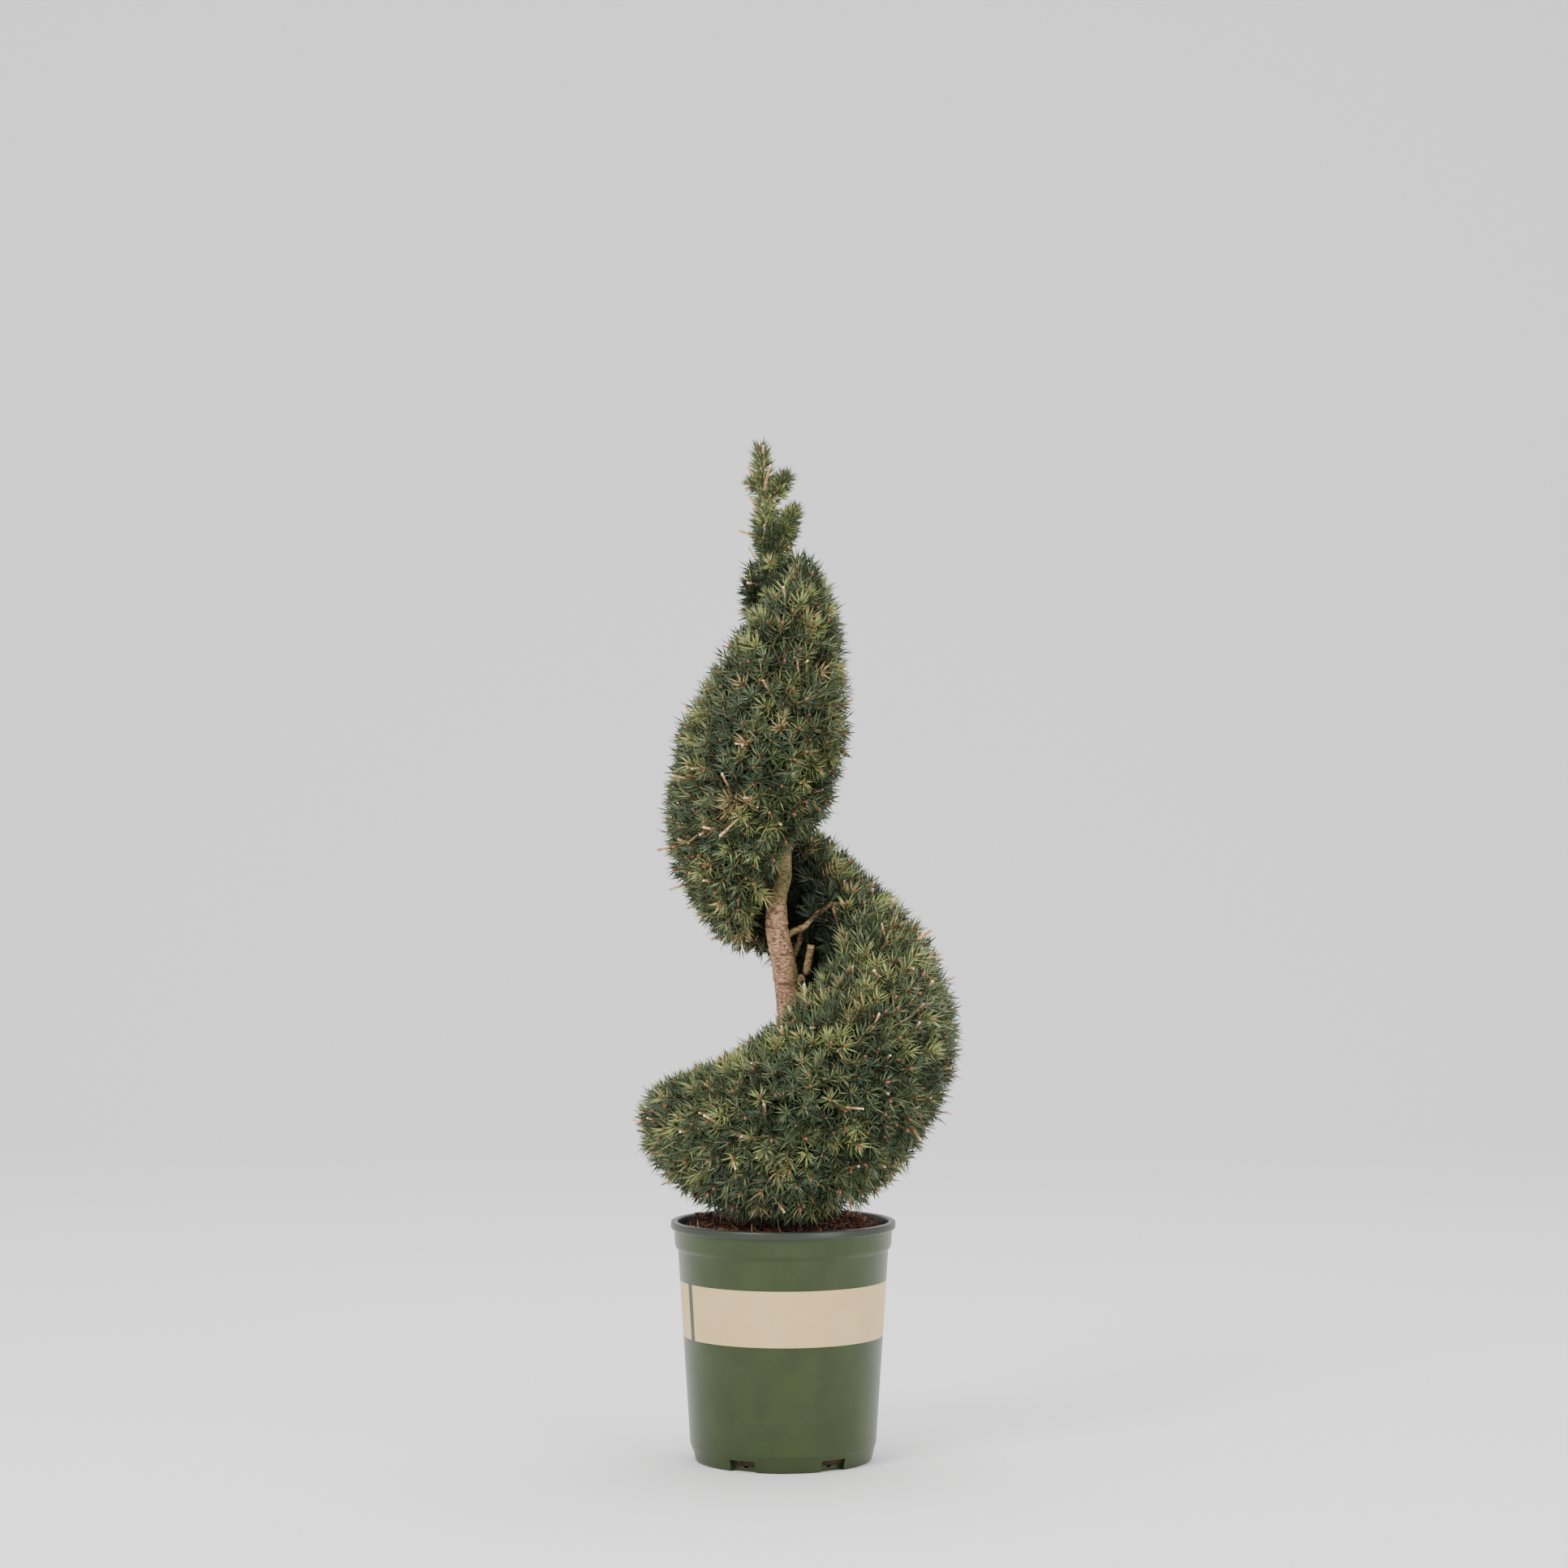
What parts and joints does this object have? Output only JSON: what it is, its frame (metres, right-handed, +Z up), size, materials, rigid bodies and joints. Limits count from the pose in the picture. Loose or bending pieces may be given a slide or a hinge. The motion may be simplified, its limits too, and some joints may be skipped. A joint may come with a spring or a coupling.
{
  "type": "potted dwarf alberta spruce",
  "caption": "Young dwarf spruce clipped to a rising spiral of dense needles round a bare trunk, standing in a round plastic nursery pot of bark potting mix",
  "frame": {"origin": "centre of the flat underside of the pot, which stands on the ground", "axes": "+Z runs up the plant from the pot to the leader, -Y is the front that the picture shows, +X is to the right in the picture"},
  "size_m": [0.2339, 0.2158, 0.7501],
  "materials": {
    "pot_plastic": "satin olive green moulded plastic with a cream printed band",
    "potting_mix": "loose dark bark fibre",
    "bark": "pinkish tan flaky bark with olive moss",
    "needles": "dense short dark green needles with paler tips"
  },
  "bodies": {
    "root": {"pot": "pot_plastic", "potting_mix": "potting_mix", "trunk": "bark", "cut_stub": "bark", "tail_bough": "bark", "front_left_skirt_bough": "bark", "front_right_skirt_bough": "bark", "right_skirt_bough": "bark", "right_flank_bough": "bark", "back_rise_bough": "bark", "back_left_bough": "bark", "left_shoulder_bough": "bark", "front_left_shoulder_bough": "bark", "front_right_shoulder_bough": "bark", "right_crest_bough": "bark", "back_crest_bough": "bark", "left_crest_bough": "bark", "tail_foliage": "needles", "front_left_skirt_foliage": "needles", "front_right_skirt_foliage": "needles", "right_skirt_foliage": "needles", "right_flank_foliage": "needles", "back_rise_foliage": "needles", "back_left_foliage": "needles", "left_shoulder_foliage": "needles", "front_left_shoulder_foliage": "needles", "front_right_shoulder_foliage": "needles", "right_crest_foliage": "needles", "back_crest_foliage": "needles", "left_crest_foliage": "needles", "neck_right_foliage": "needles", "neck_left_foliage": "needles", "side_tuft_foliage": "needles", "leader_foliage": "needles"}
  },
  "joints": []
}
